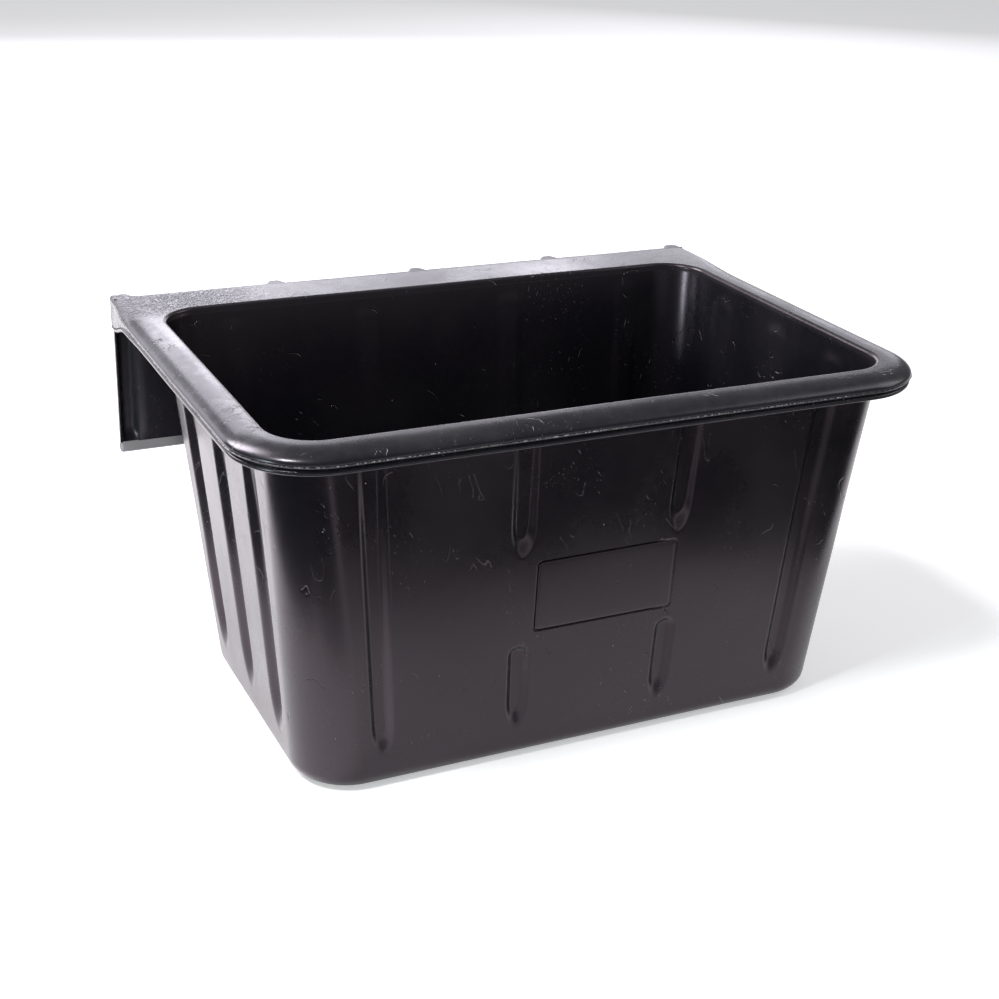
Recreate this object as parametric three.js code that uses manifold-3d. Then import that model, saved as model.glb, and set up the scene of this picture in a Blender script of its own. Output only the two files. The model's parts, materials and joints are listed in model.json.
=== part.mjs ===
// Hook-over trough feeder for poultry and small livestock.
//
// The feeder is moulded in one go from black recycled plastic: a tapered tub with a rolled rim, and
// behind it a flat deck that turns down into a ribbed hook plate, which hangs over a rail or a wall.
// The moulding is divided here along its natural lines into named solids: the tub, the rim, the deck,
// the two gussets, the corrugated hook plate, its lip, and the blank panel that the mould's insert
// leaves on the front wall. A thin joint separates each solid from the next.
//
// +X runs along the trough, the hook is at +Y, and +Z is up from the base. All sizes are millimetres.

import * as THREE from 'three';
import { mergeVertices } from 'three/addons/utils/BufferGeometryUtils.js';
import Module from 'manifold-3d';

const wasm = await Module();
wasm.setup();

// ---- Driving dimensions ----------------------------------------------------------------------

const HEIGHT = 214; // base to rim top
const WALL = 2.8; // thickness of every moulded wall
const FLOOR = 3.0; // thickness of the tub's floor
const JOINT = 0.3; // joint between neighbouring solids

const MOUTH_LENGTH = 373; // opening at the rim, along X
const MOUTH_WIDTH = 237.4; // opening at the rim, along Y
const MOUTH_RADIUS = 28; // plan radius of the opening's corners

const WALL_REVEAL = 0.5; // outer face of the tub beyond the mouth's edge, at rim height
const BASE_LENGTH = 336; // tub at the base, along X
const BASE_FRONT = -109; // tub's front face at the base, from the mouth's centre
const BASE_REAR = 85; // tub's rear face at the base, from the mouth's centre
const BASE_CORNER_RADIUS = 34; // plan radius of the tub's upright corners, at the base
const BASE_EDGE_RADIUS = 9; // round between the walls and the base

const RIM_OVERHANG = 19.5; // from the mouth's edge to the outermost point of the rim
const RIM_THICKNESS = 3.0;
const RIM_CROWN = { run: 16, drop: 6.5 }; // the quarter ellipse that rounds the rim's top
const RIM_BEAD_RADIUS = 1.4; // small bead along the rim's lower edge
const RIM_DROP = 12; // rim top to the bead's underside
const MOUTH_EDGE_RADIUS = 2.3; // round between the rim's top and the tub's inner face

const FLUTE_DEPTH = 4;
const FLUTE_WIDTH = { base: 13, top: 16 };
const FLUTE_SLOPE = 3; // width of a flute's sloping side
const FLUTE_RAMP = 6; // height over which a flute runs out at its end
const FLUTE_FOOT = 19; // height where the flutes start
const FLUTE_HEAD = 207; // height where they have run out again, behind the rim
const FLUTE_BREAK = { low: 75, high: 128 }; // heights between which the two middle front flutes pause
const LONG_WALL_FLUTES = [-0.742, -0.27, 0.27, 0.742]; // places along the wall, from -1 to 1
const SHORT_WALL_FLUTES = [-0.52, 0, 0.52];

const PANEL = { length: 87, height: 43, x: 5, z: 103.5, radius: 3, thickness: 0.9, pocket: 1.2 };

const HOOK_REACH = 34.3; // from the mouth's rear edge to the hook plate's inner face
const HOOK_PLATE_THICKNESS = 3.0;
const HOOK_LENGTH = 406; // hook plate, along X
const HOOK_DROP = 102; // rim top to the hook's lower edge
const HOOK_LIP = { height: 6.5, depth: 6.5, radius: 2.6 };
const HOOK_BEND_RADIUS = 2.6; // outside of the bend between the deck and the hook plate
const HOOK_RIB = { count: 5, pitch: 98, width: 13, slope: 3.5, proud: 4, foot: 6, head: 12 };
const GUSSET = { thickness: 2.4, drop: 21.6, run: 34 };

const ARC_STEPS = 6; // segments in a quarter turn

// Places that follow from them, with the mouth's centre at x = 0, y = 0 and the base at z = 0.
const MOUTH_REAR = MOUTH_WIDTH / 2;
const HOOK_INNER = MOUTH_REAR + HOOK_REACH;
const HOOK_OUTER = HOOK_INNER + HOOK_PLATE_THICKNESS;
const RIM_START = WALL_REVEAL + JOINT; // the rim and the deck start this far outside the mouth's edge
const DECK_LOW = HEIGHT - RIM_THICKNESS;
const FRONT_MOST = -MOUTH_WIDTH / 2 - RIM_OVERHANG;
const REAR_MOST = HOOK_OUTER + HOOK_RIB.proud;

const blackPlastic = (shade, roughness) =>
  new THREE.MeshStandardMaterial({ color: new THREE.Color(shade, shade, shade * 1.08), roughness, metalness: 0 });

const lerp = THREE.MathUtils.lerp;

// ---- Solids from rings of points ------------------------------------------------------------

const fillOutline = (outline) => THREE.ShapeUtils.triangulateShape(outline, []);

// Fills an outline that runs out along one side of a strip and back along the other, point for point.
function fillStrip(outline) {
  const last = outline.length - 1;
  const triangles = [];
  for (let i = 0; i < (last - 1) / 2; i++) {
    triangles.push([i, i + 1, last - 1 - i], [i, last - 1 - i, last - i]);
  }
  return THREE.ShapeUtils.area(outline) < 0 ? triangles.map((corners) => corners.reverse()) : triangles;
}

// Joins rings of equal point counts into one closed body. flatten gives the two coordinates in which
// the first and last ring are capped, and fill their triangles.
function loft(rings, flatten, fill = fillOutline) {
  const perRing = rings[0].length;
  const positions = rings.flat().flatMap((point) => [point.x, point.y, point.z]);
  const triangles = [];
  for (let r = 0; r < rings.length - 1; r++) {
    for (let i = 0; i < perRing; i++) {
      const a = r * perRing + i;
      const b = r * perRing + ((i + 1) % perRing);
      triangles.push([a, b, b + perRing], [a, b + perRing, a + perRing]);
    }
  }
  const capOf = (ringNumber, reverse) => {
    const start = ringNumber * perRing;
    const outline = rings[ringNumber].map(flatten);
    const turned = THREE.ShapeUtils.area(outline) < 0;
    for (const [a, b, c] of fill(outline)) {
      const corners = [start + a, start + b, start + c];
      triangles.push(turned === reverse ? corners : corners.reverse());
    }
  };
  capOf(0, true);
  capOf(rings.length - 1, false);

  const geometry = new THREE.BufferGeometry();
  geometry.setAttribute('position', new THREE.Float32BufferAttribute(positions, 3));
  geometry.setIndex(triangles.flat());
  return facingOut(geometry);
}

// Turns the faces over if they enclose a negative volume.
function facingOut(geometry) {
  const at = (i) => new THREE.Vector3().fromBufferAttribute(geometry.attributes.position, i);
  const index = geometry.index.array;
  let volume = 0;
  for (let i = 0; i < index.length; i += 3) {
    volume += at(index[i]).dot(at(index[i + 1]).cross(at(index[i + 2])));
  }
  if (volume < 0) index.reverse();
  geometry.computeVertexNormals();
  return geometry;
}

function toSolid(geometry) {
  const bare = geometry.clone();
  bare.deleteAttribute('normal');
  bare.deleteAttribute('uv');
  const merged = mergeVertices(bare, 1e-4);
  return new wasm.Manifold(
    new wasm.Mesh({
      numProp: 3,
      vertProperties: new Float32Array(merged.attributes.position.array),
      triVerts: new Uint32Array(merged.index.array),
    }),
  );
}

function toGeometry(solid) {
  const mesh = solid.getMesh();
  const geometry = new THREE.BufferGeometry();
  geometry.setAttribute('position', new THREE.BufferAttribute(mesh.vertProperties, 3));
  geometry.setIndex(new THREE.BufferAttribute(mesh.triVerts, 1));
  geometry.computeVertexNormals();
  return geometry;
}

function roundedRectangle(length, height, radius) {
  const shape = new THREE.Shape();
  const x = length / 2 - radius;
  const y = height / 2 - radius;
  shape.absarc(x, y, radius, 0, Math.PI / 2);
  shape.absarc(-x, y, radius, Math.PI / 2, Math.PI);
  shape.absarc(-x, -y, radius, Math.PI, 1.5 * Math.PI);
  shape.absarc(x, -y, radius, 1.5 * Math.PI, 2 * Math.PI);
  return shape;
}

const extrude = (shape, depth) =>
  new THREE.ExtrudeGeometry(shape, { depth, bevelEnabled: false, curveSegments: ARC_STEPS });

// ---- Tub --------------------------------------------------------------------------------------

// The tub's outer faces at a height, as the wall tapers from the rim to the base.
function tubFaces(z) {
  const t = z / HEIGHT;
  const mouthFace = MOUTH_WIDTH / 2 + WALL_REVEAL;
  return {
    side: lerp(BASE_LENGTH / 2, MOUTH_LENGTH / 2 + WALL_REVEAL, t),
    front: lerp(BASE_FRONT, -mouthFace, t),
    rear: lerp(BASE_REAR, mouthFace, t),
    radius: lerp(BASE_CORNER_RADIUS, MOUTH_RADIUS + WALL_REVEAL, t),
  };
}

// How deep a flute is at a height. The middle front flutes pause behind the panel.
function fluteDepth(z, paused) {
  const rise = (edge) => THREE.MathUtils.clamp((z - edge) / FLUTE_RAMP, 0, 1);
  const whole = FLUTE_DEPTH * (rise(FLUTE_FOOT) - rise(FLUTE_HEAD - FLUTE_RAMP));
  if (!paused) return whole;
  const gap = rise(FLUTE_BREAK.low - FLUTE_RAMP) - rise(FLUTE_BREAK.high);
  return whole * (1 - gap);
}

// One level of the tub wall: a ring of points, inset from the outer face. spread widens the flutes,
// so that the inner face keeps the wall's thickness around them.
function tubRing(z, inset, spread) {
  const faces = tubFaces(z);
  const radius = faces.radius;
  const middle = new THREE.Vector2(0, (faces.front + faces.rear) / 2);
  const half = new THREE.Vector2(faces.side, (faces.rear - faces.front) / 2);
  const halfFlute = lerp(FLUTE_WIDTH.base, FLUTE_WIDTH.top, z / HEIGHT) / 2 + spread;
  const ring = [];
  const walls = [
    { along: [1, 0], inward: [0, 1], flutes: LONG_WALL_FLUTES, front: true },
    { along: [0, 1], inward: [-1, 0], flutes: SHORT_WALL_FLUTES },
    { along: [-1, 0], inward: [0, -1], flutes: LONG_WALL_FLUTES },
    { along: [0, -1], inward: [1, 0], flutes: SHORT_WALL_FLUTES },
  ];
  walls.forEach(({ along, inward, flutes, front }, side) => {
    const run = new THREE.Vector2(...along);
    const into = new THREE.Vector2(...inward);
    const reach = Math.abs(run.dot(half));
    const depth = Math.abs(into.dot(half));
    const place = (s, d) => {
      const flat = middle.clone().addScaledVector(run, s).addScaledVector(into, inset + d - depth);
      ring.push(new THREE.Vector3(flat.x, flat.y, z));
    };
    for (const flute of flutes) {
      const centre = flute * reach;
      const deep = fluteDepth(z, front && Math.abs(flute) < 0.5);
      place(centre - halfFlute, 0);
      place(centre - halfFlute + FLUTE_SLOPE, deep);
      place(centre + halfFlute - FLUTE_SLOPE, deep);
      place(centre + halfFlute, 0);
    }
    const hub = middle.clone().addScaledVector(run, reach - radius).addScaledVector(into, radius - depth);
    for (let step = 0; step <= ARC_STEPS; step++) {
      const angle = -Math.PI / 2 + (side + step / ARC_STEPS) * (Math.PI / 2);
      const bend = radius - inset;
      ring.push(new THREE.Vector3(hub.x + bend * Math.cos(angle), hub.y + bend * Math.sin(angle), z));
    }
  });
  return ring;
}

function tubShell() {
  const edgeSteps = [0, 1 / 3, 2 / 3, 1].map((part) => (part * Math.PI) / 2);
  const fluteLevels = [
    FLUTE_FOOT,
    FLUTE_FOOT + FLUTE_RAMP,
    FLUTE_BREAK.low - FLUTE_RAMP,
    FLUTE_BREAK.low,
    FLUTE_BREAK.high,
    FLUTE_BREAK.high + FLUTE_RAMP,
    FLUTE_HEAD - FLUTE_RAMP,
    FLUTE_HEAD,
  ];
  const rings = [];
  for (const angle of edgeSteps) {
    const inset = BASE_EDGE_RADIUS * (1 - Math.sin(angle));
    rings.push(tubRing(BASE_EDGE_RADIUS * (1 - Math.cos(angle)), inset, 0));
  }
  for (const z of fluteLevels) rings.push(tubRing(z, 0, 0));
  rings.push(tubRing(HEIGHT, 0, 0));
  for (const angle of edgeSteps) {
    const ring = tubRing(HEIGHT, WALL_REVEAL + MOUTH_EDGE_RADIUS * Math.sin(angle), 0);
    rings.push(ring.map((point) => point.setZ(HEIGHT - MOUTH_EDGE_RADIUS * (1 - Math.cos(angle)))));
  }
  for (const z of fluteLevels.reverse()) rings.push(tubRing(z, WALL, WALL / 2));
  const innerRadius = BASE_EDGE_RADIUS - FLOOR;
  for (const angle of edgeSteps.reverse()) {
    const inset = WALL + innerRadius * (1 - Math.sin(angle));
    rings.push(tubRing(FLOOR + innerRadius * (1 - Math.cos(angle)), inset, WALL / 2));
  }
  const shell = toSolid(loft(rings, (point) => new THREE.Vector2(point.x, point.y)));
  const pocket = toSolid(panelPlate(PANEL.pocket, JOINT));
  return toGeometry(shell.subtract(pocket));
}

// A plate that lies in the front wall, flush with its outer face or sunk into it, with its edges
// moved out by grow. Its far side goes past the face when it cuts the pocket.
function panelPlate(depth, grow) {
  const past = grow > 0 ? 1 : 0;
  const shape = roundedRectangle(PANEL.length + 2 * grow, PANEL.height + 2 * grow, PANEL.radius + grow);
  const plate = extrude(shape, depth + past);
  plate.translate(0, 0, -depth);
  const low = tubFaces(PANEL.z - 1).front;
  const high = tubFaces(PANEL.z + 1).front;
  const lean = Math.atan2(low - high, 2);
  plate.rotateX(Math.PI / 2 + lean);
  plate.translate(PANEL.x, tubFaces(PANEL.z).front, PANEL.z);
  return plate;
}

// ---- Rim ---------------------------------------------------------------------------------------

// The rim's section: x outward from the mouth's edge, y up from the rim's top. It is a crowned
// flange whose outer edge turns down into a lip with a bead, and it is open from below.
function rimSection() {
  const shape = new THREE.Shape();
  const crownCentre = RIM_OVERHANG - RIM_CROWN.run;
  const beadCentre = { x: RIM_OVERHANG - 2.1, y: RIM_BEAD_RADIUS - RIM_DROP };
  const lipInner = beadCentre.x - 2;
  shape.moveTo(RIM_START, -RIM_THICKNESS);
  shape.lineTo(RIM_START, 0);
  shape.absellipse(crownCentre, -RIM_CROWN.drop, RIM_CROWN.run, RIM_CROWN.drop, Math.PI / 2, -0.35, true);
  shape.absarc(beadCentre.x, beadCentre.y, RIM_BEAD_RADIUS, Math.PI / 2, -Math.PI / 2, true);
  shape.lineTo(lipInner, -RIM_DROP);
  const under = RIM_CROWN.drop + 1 - RIM_THICKNESS;
  shape.absellipse(crownCentre, -RIM_CROWN.drop - 1, lipInner - crownCentre, under, 0, Math.PI / 2, false);
  return shape.getPoints(ARC_STEPS);
}

// The rim follows the mouth's edge from the hook's left end round the front to its right end.
function rolledRim() {
  const section = rimSection();
  const x = MOUTH_LENGTH / 2;
  const y = MOUTH_WIDTH / 2;
  const stations = [{ x: -x, y: HOOK_INNER - JOINT, angle: Math.PI }];
  for (const side of [-1, 1]) {
    for (let step = 0; step <= ARC_STEPS; step++) {
      const turn = (step / ARC_STEPS) * (Math.PI / 2);
      const angle = (side < 0 ? Math.PI : 1.5 * Math.PI) + turn;
      stations.push({
        x: side * (x - MOUTH_RADIUS) + MOUTH_RADIUS * Math.cos(angle),
        y: MOUTH_RADIUS - y + MOUTH_RADIUS * Math.sin(angle),
        angle,
      });
    }
  }
  stations.push({ x, y: HOOK_INNER - JOINT, angle: 2 * Math.PI });
  const rings = stations.map((station) =>
    section.map((point) => {
      const outward = point.x;
      return new THREE.Vector3(
        station.x + outward * Math.cos(station.angle),
        station.y + outward * Math.sin(station.angle),
        HEIGHT + point.y,
      );
    }),
  );
  return loft(rings, (point) => new THREE.Vector2(point.x, point.z));
}

// ---- Deck, hook plate and gussets -----------------------------------------------------------------

// The flat deck behind the mouth, between the rim's two arms. Its front corners follow the mouth's,
// and its rear edge meets the hook plate at a mitre under the bend.
function hangerDeck() {
  const hub = { x: MOUTH_LENGTH / 2 - MOUTH_RADIUS, y: MOUTH_REAR - MOUTH_RADIUS };
  const bend = MOUTH_RADIUS + RIM_START;
  const side = MOUTH_LENGTH / 2 + RIM_START - JOINT;
  const tip = Math.acos((side - hub.x) / bend);
  const outline = new THREE.Shape();
  outline.moveTo(side, HOOK_OUTER);
  outline.lineTo(-side, HOOK_OUTER);
  outline.absarc(-hub.x, hub.y, bend, Math.PI - tip, Math.PI / 2, true);
  outline.absarc(hub.x, hub.y, bend, Math.PI / 2, tip, true);
  const slab = extrude(outline, RIM_THICKNESS);
  slab.translate(0, 0, DECK_LOW);

  const section = new THREE.Shape();
  section.moveTo(hub.y, DECK_LOW);
  section.lineTo(HOOK_INNER - mitreGap(), DECK_LOW);
  section.absarc(HOOK_OUTER - HOOK_BEND_RADIUS, HEIGHT - HOOK_BEND_RADIUS, HOOK_BEND_RADIUS,
    Math.PI / 4 + mitreTurn(), Math.PI / 2, false);
  section.lineTo(hub.y, HEIGHT);
  return toGeometry(toSolid(slab).intersect(toSolid(sideProfile(section, MOUTH_LENGTH + 1))));
}

// The mitre's joint, measured along the deck's underside, and as a turn about the bend's centre.
const mitreGap = () => JOINT / Math.SQRT2;
const mitreTurn = () => Math.asin(JOINT / 2 / HOOK_BEND_RADIUS);

// An outline in the Y-Z plane, extruded along X and centred on it.
function sideProfile(shape, length) {
  const bar = extrude(shape, length);
  bar.rotateX(Math.PI / 2);
  bar.rotateZ(Math.PI / 2);
  bar.translate(-length / 2, 0, 0);
  return bar;
}

// The hook's corrugated sheet, from the deck's level down to the lip. Its ribs are pressed out to the
// rear, so they are hollow from the inner side, and they run out at both ends.
function hookPlate() {
  const foot = HEIGHT - HOOK_DROP + HOOK_LIP.height + JOINT;
  const bendCentre = { y: HOOK_OUTER - HOOK_BEND_RADIUS, z: HEIGHT - HOOK_BEND_RADIUS };
  const crown = DECK_LOW - mitreGap();
  const rings = [
    hookRing(0, foot, HOOK_OUTER, foot),
    hookRing(1, foot + HOOK_RIB.foot, HOOK_OUTER, foot + HOOK_RIB.foot),
    hookRing(1, HEIGHT - HOOK_RIB.head, HOOK_OUTER, HEIGHT - HOOK_RIB.head),
  ];
  const steps = 3;
  for (let step = 0; step <= steps; step++) {
    const angle = (step / steps) * (Math.PI / 4 - mitreTurn());
    const outerY = bendCentre.y + HOOK_BEND_RADIUS * Math.cos(angle);
    const outerZ = bendCentre.z + HOOK_BEND_RADIUS * Math.sin(angle);
    rings.push(hookRing(0, lerp(crown - HOOK_PLATE_THICKNESS, crown, step / steps), outerY, outerZ));
  }
  return loft(rings, (point) => new THREE.Vector2(point.x, point.y), fillStrip);
}

// One level of the hook's sheet: along its outer side, and back along its inner side. rise is the
// part of the ribs' full height that they have there.
function hookRing(rise, innerZ, outerY, outerZ) {
  const shift = HOOK_PLATE_THICKNESS * Math.tan(Math.atan2(HOOK_RIB.proud, HOOK_RIB.slope) / 2);
  const sideOf = (y, z, narrower) => {
    const points = [new THREE.Vector3(-HOOK_LENGTH / 2, y, z)];
    for (let i = 0; i < HOOK_RIB.count; i++) {
      const x = (i - (HOOK_RIB.count - 1) / 2) * HOOK_RIB.pitch;
      const foot = HOOK_RIB.width / 2 - narrower;
      const crest = foot - HOOK_RIB.slope;
      for (const [dx, proud] of [[-foot, 0], [-crest, rise], [crest, rise], [foot, 0]]) {
        points.push(new THREE.Vector3(x + dx, y + proud * HOOK_RIB.proud, z));
      }
    }
    return [...points, new THREE.Vector3(HOOK_LENGTH / 2, y, z)];
  };
  return [...sideOf(outerY, outerZ, 0), ...sideOf(HOOK_INNER, innerZ, shift).reverse()];
}

// The thick lip along the hook's lower edge, which stands in towards the tub.
function hookLip() {
  const { height, depth, radius } = HOOK_LIP;
  const lip = extrude(roundedRectangle(depth, height, radius), HOOK_LENGTH);
  lip.rotateX(Math.PI / 2);
  lip.rotateZ(Math.PI / 2);
  lip.translate(-HOOK_LENGTH / 2, HOOK_OUTER - depth / 2, HEIGHT - HOOK_DROP + height / 2);
  return lip;
}

// The web that fills the corner between the rim's lip and the hook plate, with a hollow curve.
function gusset() {
  const top = HEIGHT - RIM_DROP - JOINT;
  const rear = HOOK_INNER - JOINT;
  const front = rear - GUSSET.run;
  const low = HEIGHT - GUSSET.drop;
  const toe = 0.8;
  const shape = new THREE.Shape();
  shape.moveTo(rear, top);
  shape.lineTo(front, top);
  shape.lineTo(front, top - toe);
  shape.quadraticCurveTo(rear - GUSSET.run / 4, top - toe, rear, low);
  return sideProfile(shape, GUSSET.thickness);
}

// ---- Assembly --------------------------------------------------------------------------------------

const feeder = new THREE.Group();
feeder.position.y = -(FRONT_MOST + REAR_MOST) / 2;

function add(name, geometry, material, x = 0) {
  const mesh = new THREE.Mesh(geometry, material);
  mesh.name = name;
  mesh.position.x = x;
  feeder.add(mesh);
}

add('tub_shell', tubShell(), blackPlastic(0.035, 0.42));
add('label_panel', panelPlate(PANEL.thickness, 0), blackPlastic(0.045, 0.5));
add('rolled_rim', rolledRim(), blackPlastic(0.05, 0.38));
add('hanger_deck', hangerDeck(), blackPlastic(0.05, 0.38));
add('hook_plate', hookPlate(), blackPlastic(0.035, 0.45));
add('hook_lip', hookLip(), blackPlastic(0.045, 0.42));

const gussetCentre = MOUTH_LENGTH / 2 + RIM_OVERHANG - 2.1 - GUSSET.thickness / 2;
add('left_gusset', gusset(), blackPlastic(0.04, 0.42), -gussetCentre);
add('right_gusset', gusset(), blackPlastic(0.04, 0.42), gussetCentre);

export default feeder;
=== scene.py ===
"""Hook-over trough feeder: the visual model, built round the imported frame.

The feeder is one moulding in black recycled plastic. Each zone of it is a finely meshed piece that
stands for its CAD nodes. Neighbouring pieces share the same edge, so that they read as one moulding.
Shapes are worked out in millimetres from the mouth's centre and the base, and to_place() turns them
into the frame's metres.
"""

import json
import math

import bpy
import numpy as np
from mathutils import Matrix, Vector

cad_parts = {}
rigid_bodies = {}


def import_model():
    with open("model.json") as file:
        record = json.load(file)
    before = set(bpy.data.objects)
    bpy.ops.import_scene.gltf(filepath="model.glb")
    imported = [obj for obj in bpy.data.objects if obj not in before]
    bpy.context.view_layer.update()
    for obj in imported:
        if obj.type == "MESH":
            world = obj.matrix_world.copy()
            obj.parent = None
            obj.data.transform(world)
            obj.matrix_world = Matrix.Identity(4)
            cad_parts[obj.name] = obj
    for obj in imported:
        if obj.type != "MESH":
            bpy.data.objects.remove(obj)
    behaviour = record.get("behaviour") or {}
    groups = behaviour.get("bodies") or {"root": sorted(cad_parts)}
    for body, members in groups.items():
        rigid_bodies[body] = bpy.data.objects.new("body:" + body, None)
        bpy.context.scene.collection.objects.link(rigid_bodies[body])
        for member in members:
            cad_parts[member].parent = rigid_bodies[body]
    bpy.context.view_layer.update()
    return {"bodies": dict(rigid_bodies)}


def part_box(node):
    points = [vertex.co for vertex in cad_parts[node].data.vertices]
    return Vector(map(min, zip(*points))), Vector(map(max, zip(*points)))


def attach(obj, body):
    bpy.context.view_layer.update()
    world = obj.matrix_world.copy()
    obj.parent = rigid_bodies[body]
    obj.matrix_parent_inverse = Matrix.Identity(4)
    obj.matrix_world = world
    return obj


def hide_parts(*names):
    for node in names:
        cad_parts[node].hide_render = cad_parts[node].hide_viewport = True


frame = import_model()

BODY = next(iter(frame["bodies"]))
MM = 0.001

# ---- Dimensions, in millimetres ------------------------------------------------------------------

rim_low, rim_high = (np.array(corner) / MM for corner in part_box("rolled_rim"))
plate_low, plate_high = (np.array(corner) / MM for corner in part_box("hook_plate"))
lip_low, lip_high = (np.array(corner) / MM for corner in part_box("hook_lip"))
panel_low, panel_high = (np.array(corner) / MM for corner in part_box("label_panel"))
gusset_low = np.array(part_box("right_gusset")[0]) / MM

HEIGHT = rim_high[2]
OVERHANG = 19.5  # mouth's edge to the rim's outermost line
RIM_DROP = 12  # the rim's height, from its crown to the foot of its lip
FLANGE = 3.0  # thickness of the rim and the deck
WALL = 2.8
FLOOR = 3.0
HOOK_REACH = 34.3  # mouth's rear edge to the hook plate's inner face

HALF_LENGTH = rim_high[0] - OVERHANG
MOUTH_FRONT = rim_low[1] + OVERHANG
MOUTH_REAR = plate_low[1] - HOOK_REACH
MOUTH_Y = (MOUTH_FRONT + MOUTH_REAR) / 2  # the mouth's centre, in the frame
HALF_WIDTH = (MOUTH_REAR - MOUTH_FRONT) / 2
MOUTH_RADIUS = 28
HUB = (HALF_LENGTH - MOUTH_RADIUS, HALF_WIDTH - MOUTH_RADIUS)  # centre of a mouth corner, in plan

REVEAL = 0.5  # outer face of the tub beyond the mouth's edge, at rim height
SEAM = 0.3  # the pieces round the mouth meet this far outside its edge
BASE_HALF_LENGTH = 168
BASE_FRONT = -109
BASE_REAR = 85
BASE_CORNER_RADIUS = 34
BASE_EDGE_RADIUS = 9
MOUTH_EDGE_RADIUS = 2.3

FLUTE_HALF_WIDTH = (7.2, 8.6)  # at the base and at the rim
LONG_FLUTE = {"depth": 3.0, "slope": 5.2, "width": 1.0, "span": 1.22}
SHORT_FLUTE = {"depth": 4.4, "slope": 8.0, "width": 1.55, "span": 1.85}
FLUTE_SKIN = 1.2  # plastic left behind a flute's floor
RIB_SPREAD = 2.6  # how much further the rib inside reaches than its flute
FOOT_STRETCH = 2.6  # the lower ends of the flutes run out this much more gently than their sides
FLUTE_FOOT = 19
FLUTE_HEAD = 206
FLUTE_BREAK = (75, 128)  # the middle front flutes pause between these heights
LONG_FLUTES = (-0.742, -0.27, 0.27, 0.742)  # places along a wall, as parts of its half length
SHORT_FLUTES = (-0.52, 0, 0.52)
FINE_BAND = (33, 68)  # the front's inner flutes and the panel's ends lie this far from its middle

PANEL_RADIUS = 3
PANEL_GAP = 0.45  # groove round the panel
PANEL_POCKET = 1.1  # depth of the pocket that the panel sits in
PANEL_FADE = (16, 14)  # the pocket fades from this far before the panel's right end, over this length

HOOK_INNER = plate_low[1] - MOUTH_Y
HOOK_OUTER = HOOK_INNER + FLANGE
HOOK_HALF_LENGTH = plate_high[0]
RIB_PROUD = plate_high[1] - plate_low[1] - FLANGE
RIB_HALF_WIDTH = 6.5
RIB_PITCH = 98
GUSSET_FOOT = gusset_low[2]
DECK_REAR = HOOK_INNER - 4  # the deck meets the hook's bend here
EAR_REAR = HOOK_OUTER + RIB_PROUD - 0.5  # the rim's arms end here, in upright ears at the hook's ends
EAR_ROUND = 2.6
EAR_WIDTH = 9
HOOK_BEND = 5.5  # outer radius of the bend from the deck into the hook sheet
LIP_END = 2  # the lip's ends are rounded over this length

CORNER_STEPS = 40


# ---- Small tools ---------------------------------------------------------------------------------

def smooth(t):
    t = np.clip(t, 0, 1)
    return t * t * (3 - 2 * t)


def spaced(*stretches):
    """Values along stretches of (start, end, step), each value once."""
    values = []
    for start, end, step in stretches:
        count = max(1, round(abs(end - start) / step))
        values.append(np.linspace(start, end, count, endpoint=False))
    return np.append(np.concatenate(values), stretches[-1][1])


def waves(points, wavelength, seed):
    """Smooth noise from -1 to 1 at points: a sum of plane waves with seeded directions."""
    count = 7
    rng = np.random.default_rng(seed)
    total = np.zeros(points.shape[:-1])
    for _ in range(count):
        direction = rng.normal(size=3)
        direction *= 2 * math.pi / (wavelength * rng.uniform(0.7, 1.5) * np.linalg.norm(direction))
        total += np.sin(points @ direction + rng.uniform(0, 2 * math.pi))
    return total / count


def warp(points):
    """The slight unevenness of a cheap moulding, the same for every piece, so that edges still meet."""
    swell, ripple, sag = 0.30, 0.07, 0.22
    moved = points.copy()
    inside = smooth((HALF_LENGTH + OVERHANG - np.abs(points[..., 0])) / 12)
    for axis in (0, 1):
        moved[..., axis] += swell * inside * waves(points, 150, 11 + axis)
        moved[..., axis] += ripple * waves(points, 45, 21 + axis)
    lift = smooth(points[..., 2] / 30)
    moved[..., 2] -= sag * lift * (1 + waves(points, 130, 31))
    return moved


def to_place(points):
    """Points in millimetres from the mouth's centre and the base, warped, in the frame's metres."""
    placed = warp(np.asarray(points, float))
    placed[..., 1] += MOUTH_Y
    return placed * MM


def grid_faces(rows, columns, closed):
    """Four-sided faces of a grid of points. A closed grid's last column joins its first."""
    faces = []
    last = columns if closed else columns - 1
    for r in range(rows - 1):
        for c in range(last):
            a = r * columns + c
            b = r * columns + (c + 1) % columns
            faces.append((a, b, b + columns, a + columns))
    return faces


def make_piece(name, points, faces, material, nodes=(), sharp=38):
    mesh = bpy.data.meshes.new(name)
    mesh.from_pydata(to_place(points).reshape(-1, 3).tolist(), [], faces)
    mesh.validate()
    turn_outward(mesh)
    mesh.shade_smooth()
    mesh.set_sharp_from_angle(angle=math.radians(sharp))
    mesh.materials.append(material)
    piece = bpy.data.objects.new(name, mesh)
    bpy.context.scene.collection.objects.link(piece)
    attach(piece, BODY)
    if nodes:
        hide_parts(*nodes)


def turn_outward(mesh):
    """Flips the faces if they enclose a negative volume."""
    mesh.calc_loop_triangles()
    places = np.empty(len(mesh.vertices) * 3)
    mesh.vertices.foreach_get("co", places)
    corners = np.empty(len(mesh.loop_triangles) * 3, int)
    mesh.loop_triangles.foreach_get("vertices", corners)
    a, b, c = np.moveaxis(places.reshape(-1, 3)[corners.reshape(-1, 3)], 1, 0)
    if np.einsum("ij,ij->", a, np.cross(b, c)) < 0:
        mesh.flip_normals()


# ---- Camera ---------------------------------------------------------------------------------------

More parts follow.
